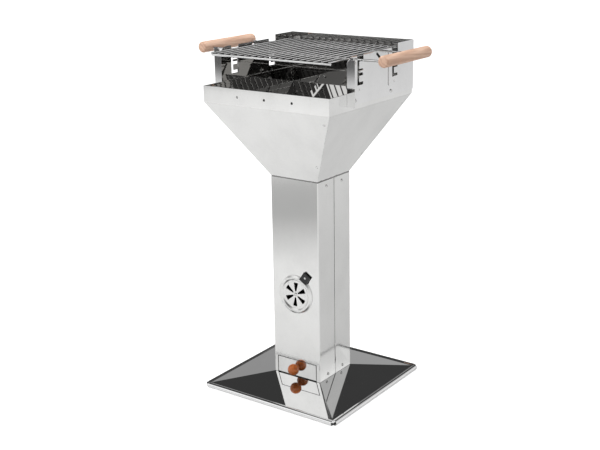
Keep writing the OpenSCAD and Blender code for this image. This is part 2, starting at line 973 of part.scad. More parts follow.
module height_bracket(y) {
    difference() {
        upright(bracket_in, bracket_sheet)
            translate([y, 0])
                bracket_outline();
        bracket_rivet_places()
            cylinder(d = bracket_rivet_d + 2 * lie_gap, h = 8 * bracket_sheet, center = true);
    }
    upright(bracket_in + rib_in, bracket_sheet + rib_out - rib_in)
        translate([y + channel_w / 2 + rib_in, rib_z + rib_in])
            square([seat_reach, rib_h - 2 * rib_in]);
}

module height_bracket_front_right() {
    color("white")
        height_bracket(-channel_front);
}

module height_bracket_front_left() {
    color("white")
        mirror([1, 0, 0])
            height_bracket(-channel_front);
}

module height_bracket_rear_right() {
    color("white")
        height_bracket(channel_rear);
}

module height_bracket_rear_left() {
    color("white")
        mirror([1, 0, 0])
            height_bracket(channel_rear);
}

module bracket_rivets() {
    color("gray")
        for (s = [0, 1])
            mirror([s, 0, 0])
                bracket_rivet_places()
                    rivet(
                        bracket_rivet_d, 2 * bracket_rivet_d, bracket_rivet_head_h,
                        bracket_in + bracket_sheet - plate_in, bracket_rivet_tail
                    );
}

// Cooking grate: two long arms carry the grid of rods
arm_end_in = 6;
wire_z = seat_z + rest_gap + wire_d / 2;
rod_z = wire_z + wire_d / 2 + weld_gap + rod_d / 2;
end_wire_z = rod_z - rod_d / 2 - wire_d / 2 + weld;
rod_pitch = (grate_w - rod_d) / (rod_count - 1);
arm_ys = [-channel_front + arm_back, channel_rear + arm_back];
end_wire_y = grate_l / 2 - wire_d / 2;
arm_end = handle_x + handle_d / 2 - arm_end_in;
handle_z = wire_z + handle_up;

module cross_wire(y, z, half) {
    translate([0, y, z])
        rotate([0, 90, 0])
            cylinder(d = wire_d, h = 2 * half, center = true);
}

module grate_grid() {
    color("silver") {
        for (y = [-end_wire_y, end_wire_y])
            cross_wire(y, end_wire_z, grate_w / 2);
        for (k = [0 : rod_count - 1])
            translate([k * rod_pitch - (grate_w - rod_d) / 2, 0, rod_z])
                rotate([90, 0, 0])
                    cylinder(d = rod_d, h = grate_l, center = true);
    }
}

module grate_arm_front() {
    color("silver")
        cross_wire(arm_ys[0], wire_z, arm_end);
}

module grate_arm_rear() {
    color("silver")
        cross_wire(arm_ys[1], wire_z, arm_end);
}

// Wooden handle on the right-hand side, with a blind bore for each arm
handle_edge = 5;
handle_edge_steps = 5;
arm_fit = 0.05;
handle_mid_y = 12;

module wood_handle() {
    half = handle_l / 2;
    r = handle_d / 2;
    difference() {
        translate([handle_x, handle_mid_y, handle_z])
            rotate([90, 0, 0])
                rotate_extrude()
                    polygon(concat(
                        [[0, -half]],
                        [for (k = [0 : handle_edge_steps])
                            let (a = 90 * k / handle_edge_steps)
                            [r, -half] + handle_edge * [sin(a) - 1, 1 - cos(a)]],
                        [for (k = [handle_edge_steps : -1 : 0])
                            let (a = 90 * k / handle_edge_steps)
                            [r, half] + handle_edge * [sin(a) - 1, cos(a) - 1]],
                        [[0, half]]
                    ));
        for (y = arm_ys)
            translate([handle_x - r - overrun, y, wire_z])
                rotate([0, 90, 0])
                    cylinder(d = wire_d + 2 * arm_fit, h = arm_end - handle_x + r + overrun + lie_gap);
    }
}

module handle_right() {
    color("burlywood")
        wood_handle();
}

module handle_left() {
    color("burlywood")
        mirror([1, 0, 0])
            wood_handle();
}

// Charcoal grate: its frame lies on the funnel's slope, just clear of the tabs in the corners
coal_half = coal_w / 2;
coal_lift = (2 * funnel_sheet + lie_gap + rest_gap + coal_wire_d / 2) / cos(funnel_slope);
coal_z = column_top + (coal_half - coal_wire_d / 2 - throat_r) * funnel_rise + coal_lift;
coal_bar_d = 4;
coal_pitch = (coal_w - coal_wire_d) / (coal_bars + 1);

module charcoal_grate() {
    axis_at = coal_half - coal_wire_d / 2;
    color([0.25, 0.25, 0.25])
        translate([0, 0, coal_z]) {
            for (s = [-1, 1]) {
                translate([0, s * axis_at, 0])
                    rotate([0, 90, 0])
                        cylinder(d = coal_wire_d, h = 2 * axis_at, center = true);
                translate([s * axis_at, 0, 0])
                    rotate([90, 0, 0])
                        cylinder(d = coal_wire_d, h = 2 * axis_at, center = true);
            }
            for (x = [-axis_at, axis_at])
                for (y = [-axis_at, axis_at])
                    translate([x, y, 0])
                        sphere(d = coal_wire_d);
            for (k = [1 : coal_bars])
                translate([k * coal_pitch - axis_at, 0, coal_wire_d / 2 + coal_bar_d / 2 - weld])
                    rotate([90, 0, 0])
                        cylinder(d = coal_bar_d, h = coal_w - coal_wire_d, center = true);
        }
}

base_plate();
column_front_shell();
column_rear_shell();
column_foot_screws();
column_top_screws();
drawer_runner_left();
drawer_runner_right();
drawer_tray();
drawer_front();
drawer_knob();
drawer_knob_screw();
vent_disc();
vent_grip();
vent_grip_rivet();
vent_pivot_rivet();
funnel_panel_front();
funnel_panel_right();
funnel_panel_back();
funnel_panel_left();
funnel_rivets();
wind_shield_left();
wind_shield_right();
wind_shield_back();
wind_shield_screws();
wind_shield_nuts();
wind_shield_corner_rivets();
height_bracket_front_left();
height_bracket_front_right();
height_bracket_rear_left();
height_bracket_rear_right();
bracket_rivets();
grate_grid();
grate_arm_front();
grate_arm_rear();
handle_left();
handle_right();
charcoal_grate();
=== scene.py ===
"""Pedestal charcoal grill: the finish of each piece, the studio round it and the camera."""

import json
import logging
import math
from dataclasses import dataclass, field
from enum import Enum

import bpy
from mathutils import Matrix, Vector

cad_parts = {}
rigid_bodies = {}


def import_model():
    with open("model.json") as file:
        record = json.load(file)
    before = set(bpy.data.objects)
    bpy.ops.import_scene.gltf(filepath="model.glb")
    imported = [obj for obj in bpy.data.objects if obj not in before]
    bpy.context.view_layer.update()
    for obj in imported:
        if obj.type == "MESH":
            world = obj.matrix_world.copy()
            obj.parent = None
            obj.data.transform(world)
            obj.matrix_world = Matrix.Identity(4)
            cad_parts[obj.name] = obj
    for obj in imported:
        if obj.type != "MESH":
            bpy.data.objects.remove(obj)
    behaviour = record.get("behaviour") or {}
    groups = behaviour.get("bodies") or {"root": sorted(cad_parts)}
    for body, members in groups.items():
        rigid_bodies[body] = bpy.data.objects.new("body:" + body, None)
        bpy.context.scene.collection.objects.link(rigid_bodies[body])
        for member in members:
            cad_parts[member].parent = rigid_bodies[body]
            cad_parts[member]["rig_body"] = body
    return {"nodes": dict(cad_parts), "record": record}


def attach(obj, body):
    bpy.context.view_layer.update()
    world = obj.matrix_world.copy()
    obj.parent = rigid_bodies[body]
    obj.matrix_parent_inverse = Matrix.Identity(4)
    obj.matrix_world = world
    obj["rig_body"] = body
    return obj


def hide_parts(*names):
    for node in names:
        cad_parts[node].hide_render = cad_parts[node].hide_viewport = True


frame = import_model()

LOG = logging.getLogger("grill")
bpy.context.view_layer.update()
MM = 0.001
SHEET = 1 * MM
# Half the column's width, which tells its inner sides from its outer ones
COLUMN_HALF = 70 * MM
# Sides that turn further than this towards the grill's axis get the inner finish, darkened as painted shade
INWARD_LIMIT = -0.3
# Points of a CAD mesh that are closer than this are one point
MERGE_GAP = 1e-6
BROKEN_EDGE = 0.25 * MM
# Angles in degrees: faces that lie in one plane, edges that are broken, and sides that shade as
# one on a folded sheet and on the base, where the rim's flats do so and the sloping panels don't
FLAT_LIMIT = 0.4
EDGE_LIMIT = 28.0
FOLDED_LIMIT = 32.0
ROLLED_LIMIT = 12.4

Colour = tuple[float, float, float]
Point = tuple[float, float, float]
Span = tuple[float, float]
Stops = tuple[Span, ...]
WHITE = (1.0, 1.0, 1.0, 1.0)
BLACK = (0.0, 0.0, 0.0, 1.0)


class Graph:
    """A node tree with short ways to add nodes and join their sockets."""

    def __init__(self, tree: bpy.types.NodeTree) -> None:
        """Starts from an empty tree.

        Args:
            tree: The tree to fill.
        """
        self.tree = tree
        tree.nodes.clear()

    def add(self, kind: str, inputs: dict[str, object] | None = None, **settings: object) -> bpy.types.Node:
        """Adds a node.

        Args:
            kind: The node's type name.
            inputs: Values, or sockets to join, by input name or number.
            **settings: Properties of the node.

        Returns:
            The new node.
        """
        node = self.tree.nodes.new(kind)
        for name, value in settings.items():
            setattr(node, name, value)
        for name, value in (inputs or {}).items():
            socket = node.inputs[int(name)] if name.isdigit() else node.inputs[name]
            if isinstance(value, bpy.types.NodeSocket):
                self.tree.links.new(value, socket)
            else:
                socket.default_value = value
        return node

    def math(self, operation: str, a: object, b: object = 0.0) -> bpy.types.NodeSocket:
        """Adds a Math node.

        Args:
            operation: The operation's name.
            a: The first value or socket.
            b: The second value or socket.

        Returns:
            The result's socket.
        """
        return self.add("ShaderNodeMath", {"0": a, "1": b}, operation=operation).outputs[0]

    def blend(self, share: object, a: object, b: object) -> bpy.types.NodeSocket:
        """Mixes two colours.

        Args:
            share: How much of the second colour shows.
            a: The first colour or socket.
            b: The second colour or socket.

        Returns:
            The mixed colour's socket.
        """
        node = self.add("ShaderNodeMix", {"0": share, "6": a, "7": b}, data_type="RGBA")
        return node.outputs[2]

    def span(self, value: object, low: float, high: float, to_low: float, to_high: float) -> bpy.types.NodeSocket:
        """Maps a value from one span to another and keeps it inside.

        Args:
            value: The value or socket.
            low: The value that becomes to_low.
            high: The value that becomes to_high.
            to_low: The first result.
            to_high: The last result.

        Returns:
            The mapped value's socket.
        """
        names = {"Value": value, "From Min": low, "From Max": high, "To Min": to_low, "To Max": to_high}
        return self.add("ShaderNodeMapRange", names).outputs[0]

    def vector(
        self, operation: str, a: object, b: Point = (0.0, 0.0, 0.0), out: str = "Vector"
    ) -> bpy.types.NodeSocket:
        """Adds a Vector Math node.

        Args:
            operation: The operation's name.
            a: The first vector's socket.
            b: The second vector.
            out: The output's name.

        Returns:
            The result's socket.
        """
        return self.add("ShaderNodeVectorMath", {"0": a, "1": b}, operation=operation).outputs[out]

    def stretched(self, scale: Point) -> bpy.types.NodeSocket:
        """Object coordinates, scaled along each axis.

        Args:
            scale: The scale along X, Y and Z.

        Returns:
            The coordinates' socket.
        """
        place = self.add("ShaderNodeTexCoord").outputs["Object"]
        return self.add("ShaderNodeMapping", {"Vector": place, "Scale": scale}).outputs[0]


def opaque(colour: Colour) -> tuple[float, ...]:
    """Adds full cover to a colour.

    Args:
        colour: Red, green and blue.

    Returns:
        Red, green, blue and 1.
    """
    return (*colour, 1.0)


def new_material(name: str) -> tuple[bpy.types.Material, Graph]:
    """Starts a material.

    Args:
        name: The material's name.

    Returns:
        The material and the graph of its nodes.
    """
    made = bpy.data.materials.new(name)
    made.use_nodes = True
    return made, Graph(made.node_tree)


class Effects:
    """Node groups that more than one finish uses."""

    WAVE_STRETCH = (1.0, 1.0, 0.6)
    LINE_STRETCH = (1.0, 1.0, 0.012)
    MARK_STRETCH = (1.0, 1.0, 0.7)
    RING_STRETCH = (1.0, 0.07, 1.0)
    FIBRE_STRETCH = (1.0, 0.02, 1.0)
    FINE_SHARE = 0.25
    MARK_LEVEL = 1.05
    MARK_CONTRAST = 3.0
    GRAIN_SHARES = (0.45, 0.35, 0.35)
    GRAIN_SPAN = (0.25, 0.95)

    def __init__(self) -> None:
        """Builds each group once."""
        self.waves = self._waves()
        self.lines = self._lines()
        self.marks = self._marks()
        self.grain = self._grain()

    @staticmethod
    def _group(
        name: str, inputs: dict[str, object], outputs: dict[str, str]
    ) -> tuple[Graph, bpy.types.Node, bpy.types.Node]:
        """Starts a node group.

        Args:
            name: The group's name.
            inputs: Default numbers or colours by input name.
            outputs: Socket types by output name.

        Returns:
            Its graph, its input node and its output node.
        """
        tree = bpy.data.node_groups.new(name, "ShaderNodeTree")
        for label, value in inputs.items():
            kind = "NodeSocketColor" if isinstance(value, tuple) else "NodeSocketFloat"
            tree.interface.new_socket(label, in_out="INPUT", socket_type=kind).default_value = value
        for label, kind in outputs.items():
            tree.interface.new_socket(label, in_out="OUTPUT", socket_type=kind)
        graph = Graph(tree)
        return graph, graph.add("NodeGroupInput"), graph.add("NodeGroupOutput")

    def _waves(self) -> bpy.types.NodeTree:
        """Slow waves of a thin sheet that was rolled and folded.

        Returns:
            A group with a Height output in metres.
        """
        graph, given, made = self._group("Sheet waves", {"Size": 6.0, "Depth": 0.0001}, {"Height": "NodeSocketFloat"})
        place = graph.stretched(self.WAVE_STRETCH)
        noise = graph.add("ShaderNodeTexNoise", {"Vector": place, "Scale": given.outputs["Size"], "Detail": 1.0})
        height = graph.math("MULTIPLY", noise.outputs[0], given.outputs["Depth"])
        graph.tree.links.new(height, made.inputs["Height"])
        return graph.tree

    def _lines(self) -> bpy.types.NodeTree:
        """Fine lines that the polishing belt leaves along a sheet.

        Returns:
            A group with Height in metres and Shade from 0 to 1.
        """
        graph, given, made = self._group(
            "Polishing lines", {"Fineness": 900.0, "Depth": 0.00001},
            {"Height": "NodeSocketFloat", "Shade": "NodeSocketFloat"},
        )
        place = graph.stretched(self.LINE_STRETCH)
        noise = graph.add("ShaderNodeTexNoise", {"Vector": place, "Scale": given.outputs["Fineness"], "Detail": 2.0})
        height = graph.math("MULTIPLY", noise.outputs[0], given.outputs["Depth"])
        graph.tree.links.new(height, made.inputs["Height"])
        graph.tree.links.new(noise.outputs[0], made.inputs["Shade"])
        return graph.tree

    def _marks(self) -> bpy.types.NodeTree:
        """Faint wiping and handling marks.

        Returns:
            A group with a Mask output from 0 to 1.
        """
        graph, given, made = self._group("Handling marks", {"Size": 14.0, "Cover": 0.5}, {"Mask": "NodeSocketFloat"})
        place = graph.stretched(self.MARK_STRETCH)
        broad = graph.add("ShaderNodeTexNoise", {"Vector": place, "Scale": given.outputs["Size"], "Detail": 4.0})
        fine = graph.add("ShaderNodeTexNoise", {"Vector": place, "Scale": 160.0, "Detail": 3.0})
        both = graph.math("ADD", broad.outputs[0], graph.math("MULTIPLY", fine.outputs[0], self.FINE_SHARE))
        low = graph.math("SUBTRACT", self.MARK_LEVEL, given.outputs["Cover"])
        mask = graph.math("MULTIPLY", graph.math("SUBTRACT", both, low), self.MARK_CONTRAST)
        clamp = graph.add("ShaderNodeClamp", {"Value": mask})
        graph.tree.links.new(clamp.outputs[0], made.inputs["Mask"])
        return graph.tree

    def _grain(self) -> bpy.types.NodeTree:
        """Wood grain that runs along Y, with pores and slow colour changes.

        Returns:
            A group with Color, Shade from 0 to 1 and Height in metres.
        """
        graph, given, made = self._group(
            "Wood grain", {"Pale": (0.8, 0.6, 0.4, 1.0), "Deep": (0.5, 0.3, 0.2, 1.0), "Size": 60.0, "Depth": 0.00005},
            {"Color": "NodeSocketColor", "Shade": "NodeSocketFloat", "Height": "NodeSocketFloat"},
        )
        long_place = graph.stretched(self.RING_STRETCH)
        rings = graph.add(
            "ShaderNodeTexWave",
            {"Vector": long_place, "Scale": given.outputs["Size"], "Distortion": 7.0, "Detail": 2.0,
             "Detail Scale": 1.4},
            wave_type="BANDS", bands_direction="DIAGONAL",
        )
        fibre_place = graph.stretched(self.FIBRE_STRETCH)
        fibres = graph.add("ShaderNodeTexNoise", {"Vector": fibre_place, "Scale": 900.0, "Detail": 3.0})
        broad = graph.add("ShaderNodeTexNoise", {"Vector": long_place, "Scale": 30.0, "Detail": 2.0})
        layers = (rings.outputs[1], fibres.outputs[0], broad.outputs[0])
        parts = [graph.math("MULTIPLY", layer, share) for layer, share in zip(layers, self.GRAIN_SHARES)]
        shade = graph.math("ADD", graph.math("ADD", parts[0], parts[1]), parts[2])
        share = graph.span(shade, *self.GRAIN_SPAN, 0.0, 1.0)
        colour = graph.blend(share, given.outputs["Pale"], given.outputs["Deep"])
        height = graph.math("MULTIPLY", share, given.outputs["Depth"])
        for socket, name in ((colour, "Color"), (share, "Shade"), (height, "Height")):
            graph.tree.links.new(socket, made.inputs[name])
        return graph.tree


@dataclass(frozen=True)
class SteelFinish:
    """Polished or satin stainless steel."""

    name: str
    colour: Colour
    roughness: float
    marked_roughness: float
    wave_size: float
    wave_depth: float
    line_depth: float = 0.0
    mark_cover: float = 0.5
    dulling: float = 0.93
    line_share: float = 0.2

    def material(self, effects: Effects) -> bpy.types.Material:
        """Makes the material.

        Args:
            effects: The shared node groups.

        Returns:
            The new material.
        """
        made, graph = new_material(self.name)
        waves = graph.add(
            "ShaderNodeGroup", {"Size": self.wave_size, "Depth": self.wave_depth}, node_tree=effects.waves
        )
        lines = graph.add("ShaderNodeGroup", {"Depth": self.line_depth}, node_tree=effects.lines)
        marks = graph.add("ShaderNodeGroup", {"Cover": self.mark_cover}, node_tree=effects.marks)
        dull = tuple(c * self.dulling for c in self.colour)
        colour = graph.blend(marks.outputs["Mask"], opaque(self.colour), opaque(dull))
        rough = graph.math("MULTIPLY_ADD", marks.outputs["Mask"], self.marked_roughness)
        rough.node.inputs[2].default_value = self.roughness
        lined = graph.math("MULTIPLY", lines.outputs["Shade"], self.roughness * self.line_share)
        height = graph.math("ADD", waves.outputs["Height"], lines.outputs["Height"])
        bump = graph.add("ShaderNodeBump", {"Height": height, "Distance": 1.0, "Strength": 1.0})
        shader = graph.add(
            "ShaderNodeBsdfPrincipled",
            {"Base Color": colour, "Metallic": 1.0, "Roughness": graph.math("ADD", rough, lined),
             "Normal": bump.outputs[0]},
        )
        graph.add("ShaderNodeOutputMaterial", {"Surface": shader.outputs[0]})
        return made


@dataclass(frozen=True)
class WoodFinish:
    """Turned wood, plain or lacquered."""

    name: str
    pale: Colour
    deep: Colour
    grain_size: float
    roughness: float
    lacquer: float = 0.0
    lacquer_roughness: float = 0.06
    rougher: float = 1.25
    grain_relief: float = 0.6

    def material(self, effects: Effects) -> bpy.types.Material:
        """Makes the material.

        Args:
            effects: The shared node groups.

        Returns:
            The new material.
        """
        made, graph = new_material(self.name)
        grain = graph.add(
            "ShaderNodeGroup", {"Pale": opaque(self.pale), "Deep": opaque(self.deep), "Size": self.grain_size},
            node_tree=effects.grain,
        )
        rough = graph.span(grain.outputs["Shade"], 0.0, 1.0, self.roughness, self.roughness * self.rougher)
        relief = {"Height": grain.outputs["Height"], "Distance": 1.0, "Strength": self.grain_relief}
        bump = graph.add("ShaderNodeBump", relief)
        shader = graph.add(
            "ShaderNodeBsdfPrincipled",
            {"Base Color": grain.outputs["Color"], "Roughness": rough, "Normal": bump.outputs[0],
             "Coat Weight": self.lacquer, "Coat Roughness": self.lacquer_roughness},
        )
        graph.add("ShaderNodeOutputMaterial", {"Surface": shader.outputs[0]})
        return made


@dataclass(frozen=True)
class PlasticFinish:
    """Moulded heat-proof plastic with a fine grain."""

    name: str
    colour: Colour
    roughness: float = 0.35
    rougher: float = 1.3
    grit_size: float = 2500.0
    grit_depth: float = 0.00003
    wear: float = 0.4
    paler: float = 1.8
    lift: float = 0.01

    def material(self, effects: Effects) -> bpy.types.Material:
        """Makes the material.

        Args:
            effects: The shared node groups.

        Returns:
            The new material.
        """
        made, graph = new_material(self.name)
        marks = graph.add("ShaderNodeGroup", node_tree=effects.marks)
        place = graph.stretched((1.0, 1.0, 1.0))
        grit = graph.add("ShaderNodeTexNoise", {"Vector": place, "Scale": self.grit_size, "Detail": 2.0})
        height = graph.math("MULTIPLY", grit.outputs[0], self.grit_depth)
        bump = graph.add("ShaderNodeBump", {"Height": height, "Distance": 1.0, "Strength": 1.0})
        worn = tuple(min(1.0, c * self.paler + self.lift) for c in self.colour)
        share = graph.math("MULTIPLY", marks.outputs["Mask"], self.wear)
        colour = graph.blend(share, opaque(self.colour), opaque(worn))
        rough = graph.span(marks.outputs["Mask"], 0.0, 1.0, self.roughness, self.roughness * self.rougher)
        shader = graph.add(
            "ShaderNodeBsdfPrincipled", {"Base Color": colour, "Roughness": rough, "Normal": bump.outputs[0]}
        )
        graph.add("ShaderNodeOutputMaterial", {"Surface": shader.outputs[0]})
        return made


class Finish(Enum):
    """The finishes of the grill's pieces."""

    MIRROR = SteelFinish("Mirror steel", (0.80, 0.80, 0.80), 0.03, 0.03, 5.0, 0.00006, mark_cover=0.42, dulling=0.96)
    SHEET = SteelFinish("Polished sheet", (0.80, 0.80, 0.79), 0.08, 0.04, 5.0, 0.00005)
    FUNNEL = SteelFinish("Funnel sheet", (0.80, 0.80, 0.79), 0.045, 0.03, 6.0, 0.00012)
    SHIELD = SteelFinish("Shield sheet", (0.80, 0.80, 0.80), 0.05, 0.03, 5.0, 0.00006)
    # Inner sides of the column: unpolished, and nearly black as painted shade inside the closed column
    UNPOLISHED = SteelFinish("Unpolished inside, painted shade", (0.05, 0.05, 0.05), 0.4, 0.1, 9.0, 0.00005)
    # Inner sides of the funnel, wind shield and brackets: polished sheet darkened as painted shade
    HEARTH = SteelFinish(
        "Inner sheet, painted shade", (0.53, 0.525, 0.515), 0.012, 0.01, 7.0, 0.00009, mark_cover=0.3, dulling=0.92
    )
    VENT = SteelFinish("Satin vent", (0.80, 0.80, 0.79), 0.24, 0.06, 20.0, 0.00001, line_depth=0.000001)
    # Drawer tray and runners: satin sheet darkened as painted shade inside the column
    TRAY = SteelFinish("Tray sheet, painted shade", (0.30, 0.30, 0.29), 0.30, 0.08, 9.0, 0.00005, line_depth=0.000002)
    FASTENER = SteelFinish(
        "Satin fasteners", (0.74, 0.74, 0.73), 0.2, 0.08, 30.0, 0.00001,
        line_depth=0.000001, mark_cover=0.6, dulling=0.85,
    )
    WIRE = SteelFinish("Bright wire", (0.82, 0.82, 0.82), 0.07, 0.08, 40.0, 0.00001, mark_cover=0.6, dulling=0.85)
    GRIP = PlasticFinish("Black grip", (0.012, 0.012, 0.013))
    HANDLE = WoodFinish("Handle wood", (0.82, 0.56, 0.42), (0.60, 0.36, 0.25), 55.0, 0.55)
    KNOB = WoodFinish("Lacquered knob wood", (0.62, 0.165, 0.022), (0.32, 0.065, 0.009), 90.0, 0.35, lacquer=0.4)


class Bench:
    """Holds the finishes and the moves that every sub-assembly uses."""

    def __init__(self) -> None:
        """Makes the shared effects; the finishes are made when first used."""
        self.effects = Effects()
        self.made: dict[Finish, bpy.types.Material] = {}

    def dress(self, piece: bpy.types.Object, finish: Finish) -> None:
        """Gives a piece one finish all over.

        Args:
            piece: The mesh object.
            finish: Its finish.
        """
        piece.data.materials.clear()
        piece.data.materials.append(self.finish_of(finish))
        LOG.info("%s: %s", piece.name, finish.value.name)

    @staticmethod
    def clear_selection() -> None:
        """Leaves nothing selected."""
        for piece in bpy.context.view_layer.objects:
            piece.select_set(False)

    def edit(self, piece: bpy.types.Object) -> None:
        """Opens one piece in edit mode with all of it selected.

        Args:
            piece: The mesh object.
        """
        self.clear_selection()
        piece.select_set(True)
        bpy.context.view_layer.objects.active = piece
        bpy.ops.object.mode_set(mode="EDIT")
        bpy.ops.mesh.select_all(action="SELECT")

    def finish_of(self, finish: Finish) -> bpy.types.Material:
        """Makes a finish's material when it is first asked for.

        Args:
            finish: The finish.

        Returns:
            Its material.
        """
        if finish not in self.made:
            self.made[finish] = finish.value.material(self.effects)
        return self.made[finish]

    def line(self, piece: bpy.types.Object, finish: Finish) -> None:
        """Gives the sides inside the column or facing the grill's axis a second finish, darkened as painted shade.

        Args:
            piece: The mesh object.
            finish: The finish of its inner sides, darker as painted shade.
        """
        piece.data.materials.append(self.finish_of(finish))
        for side in piece.data.polygons:
            outwards = Vector((side.center.x, side.center.y, 0.0)).normalized()
            in_column = max(abs(side.center.x), abs(side.center.y)) < COLUMN_HALF - SHEET / 2
            if in_column or side.normal.dot(outwards) < INWARD_LIMIT:
                side.material_index = 1

    def softened(self, node: str, finish: Finish, smooth: float = FOLDED_LIMIT) -> bpy.types.Object:
        """Makes a copy of a CAD node with its edges broken, and shows it in the node's place.

        Args:
            node: The CAD node.
            finish: The copy's finish.
            smooth: The angle in degrees up to which neighbouring sides shade as one.

        Returns:
            The new piece.
        """
        source = frame["nodes"][node]
        piece = bpy.data.objects.new(f"{node}_finished", source.data.copy())
        bpy.context.scene.collection.objects.link(piece)
        self.edit(piece)
        bpy.ops.mesh.customdata_custom_splitnormals_clear()
        bpy.ops.mesh.remove_doubles(threshold=MERGE_GAP)
        bpy.ops.mesh.dissolve_limited(angle_limit=math.radians(FLAT_LIMIT))
        bpy.ops.object.mode_set(mode="OBJECT")
        bevel = piece.modifiers.new("Broken edges", "BEVEL")
        bevel.width = BROKEN_EDGE
        bevel.segments = 2
        bevel.limit_method = "ANGLE"
        bevel.angle_limit = math.radians(EDGE_LIMIT)
        bevel.use_clamp_overlap = False
        bpy.ops.object.modifier_apply(modifier=bevel.name)
        bpy.ops.object.shade_smooth_by_angle(angle=math.radians(smooth))
        flats = piece.modifiers.new("Flat faces", "WEIGHTED_NORMAL")
        flats.keep_sharp = True
        bpy.ops.object.modifier_apply(modifier=flats.name)
        self.dress(piece, finish)
        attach(piece, source["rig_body"])
        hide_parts(node)
        return piece

    @staticmethod
    def slot_of(node: str) -> str:
        """The record's material slot of a CAD node.

        Args:
            node: The CAD node.

        Returns:
            The slot's name.
        """
        return next(s["material_slot"] for s in frame["record"]["subparts"] if s["node"] == node)


@dataclass
class SubAssembly:
    """A group of CAD nodes that share a finish each."""

    bench: Bench
    title: str
    sheets: dict[str, Finish] = field(default_factory=dict)
    plain: dict[str, Finish] = field(default_factory=dict)
    # The finish of the sheets' inner sides, darkened as painted shade
    inner: Finish | None = None
    smooth: float = FOLDED_LIMIT

    def build(self) -> None:
        """Softens the sheets' edges, gives their inner sides the darker finish of painted shade, and dresses the plain
        nodes.
        """
        for node, finish in self.sheets.items():
            piece = self.bench.softened(node, finish, self.smooth)
            if self.inner:
                self.bench.line(piece, self.inner)
        for node, finish in self.plain.items():
            self.bench.dress(frame["nodes"][node], finish)
        LOG.info("%s: %d pieces", self.title, len(self.sheets) + len(self.plain))


@dataclass(frozen=True)
class ScrewRows:
    """Pairs of screws on some sides of the grill, with the place of their heads."""

    node: str
    sides: tuple[int, ...]
    apart: float
    height: float
    head_face: float
    recess: float

    def places(self) -> list[Matrix]:
        """Frames on the heads, with +Z outwards.

        Returns:
            One matrix per screw.
        """
        frames = []
        outwards = Matrix.Rotation(math.radians(90), 4, "X")
        for side in self.sides:
            turn = Matrix.Rotation(math.radians(side), 4, "Z")
            for x in (-self.apart / 2, self.apart / 2):
                frames.append(turn @ Matrix.Translation((x, -self.head_face, self.height)) @ outwards)
        return frames


@dataclass
class RecessedScrews:
    """Screws whose heads get a cross recess."""

    bench: Bench
    rows: ScrewRows
    arm_width: float = 0.24
    arm_depth: float = 0.5
    turn: float = 45.0

    def build(self) -> None:
        """Cuts the crosses into a softened copy of the screws."""
        piece = self.bench.softened(self.rows.node, Finish.FASTENER)
        cutters = [self._bar(head, turned) for head in self.rows.places() for turned in (False, True)]
        self.bench.clear_selection()
        for cutter in cutters:
            cutter.select_set(True)
        bpy.context.view_layer.objects.active = cutters[0]
        bpy.ops.object.join()
        self.bench.clear_selection()
        piece.select_set(True)
        bpy.context.view_layer.objects.active = piece
        cut = piece.modifiers.new("Cross recess", "BOOLEAN")
        cut.operation = "DIFFERENCE"
        cut.solver = "EXACT"
        cut.use_self = True
        cut.object = cutters[0]
        bpy.ops.object.modifier_apply(modifier=cut.name)
        bpy.data.objects.remove(cutters[0], do_unlink=True)
        LOG.info("%s: %d recesses", self.rows.node, len(self.rows.places()))

    def _bar(self, head: Matrix, turned: bool) -> bpy.types.Object:
        """Makes one arm of a cross recess.

        Args:
            head: The frame on the screw's head.
            turned: Whether the arm is the second one, at a right angle.

        Returns:
            The cutter.
        """
        size = self.rows.recess
        bpy.ops.mesh.primitive_cube_add(size=1.0)
        bar = bpy.context.object
        shape = Matrix.Diagonal((size, size * self.arm_width, size * self.arm_depth, 1.0))
        spin = Matrix.Rotation(math.radians(self.turn + 90 * turned), 4, "Z")
        bar.data.transform(head @ spin @ shape)
        return bar


@dataclass
class PhotoCamera:
    """The camera at the photograph's angle, from the fitted view."""

    image_width: int = 600
    focal_pixels: float = 1062.675
    azimuth: float = 35.9
    elevation: float = 16.826
    roll: float = -0.94
    distance: float = 2.64715
    shift_right: float = -0.027882
    height: float = 0.415511
    sensor: float = 36.0
    far_limit: float = 100.0

    def build(self) -> None:
        """Places the camera and makes it the scene's own."""
        azimuth, elevation, roll = (math.radians(a) for a in (self.azimuth, self.elevation, self.roll))
        level = math.cos(elevation)
        back = Vector((math.sin(azimuth) * level, -math.cos(azimuth) * level, math.sin(elevation)))
        side = Vector((math.cos(azimuth), math.sin(azimuth), 0.0))
        up = back.cross(side)
        right = side * math.cos(roll) + up * math.sin(roll)
        top = up * math.cos(roll) - side * math.sin(roll)
        data = bpy.data.cameras.new("Photo camera")
        data.sensor_width = self.sensor
        data.lens = self.focal_pixels / self.image_width * self.sensor
        data.clip_end = self.far_limit
        camera = bpy.data.objects.new("Photo camera", data)
        bpy.context.scene.collection.objects.link(camera)
        turn = Matrix((right, top, back)).transposed().to_4x4()
        place = Vector((0.0, 0.0, self.height)) + side * self.shift_right + back * self.distance
        camera.matrix_world = Matrix.Translation(place) @ turn
        bpy.context.scene.camera = camera


@dataclass(frozen=True)
class Softbox:
    """A square area light that faces the grill's axis."""

    name: str
    place: Point
    aim_height: float
    size: float
    power: float
    mirrored: bool = False

    def build(self) -> None:
        """Hangs the light, which polished sheet shows only if it is mirrored."""
        data = bpy.data.lights.new(self.name, "AREA")
        data.size = self.size
        data.energy = self.power
        lamp = bpy.data.objects.new(self.name, data)
        bpy.context.scene.collection.objects.link(lamp)
        turn = (Vector(self.place) - Vector((0.0, 0.0, self.aim_height))).to_track_quat("Z", "Y")
        lamp.matrix_world = Matrix.Translation(self.place) @ turn.to_matrix().to_4x4()
        lamp.visible_glossy = self.mirrored


@dataclass(frozen=True)
class FloorShadeSpot:
    """A round patch of painted shade on the floor, darker towards its middle, that the upright sheets mirror."""

    place: Point
    inner: float
    outer: float
    level: float


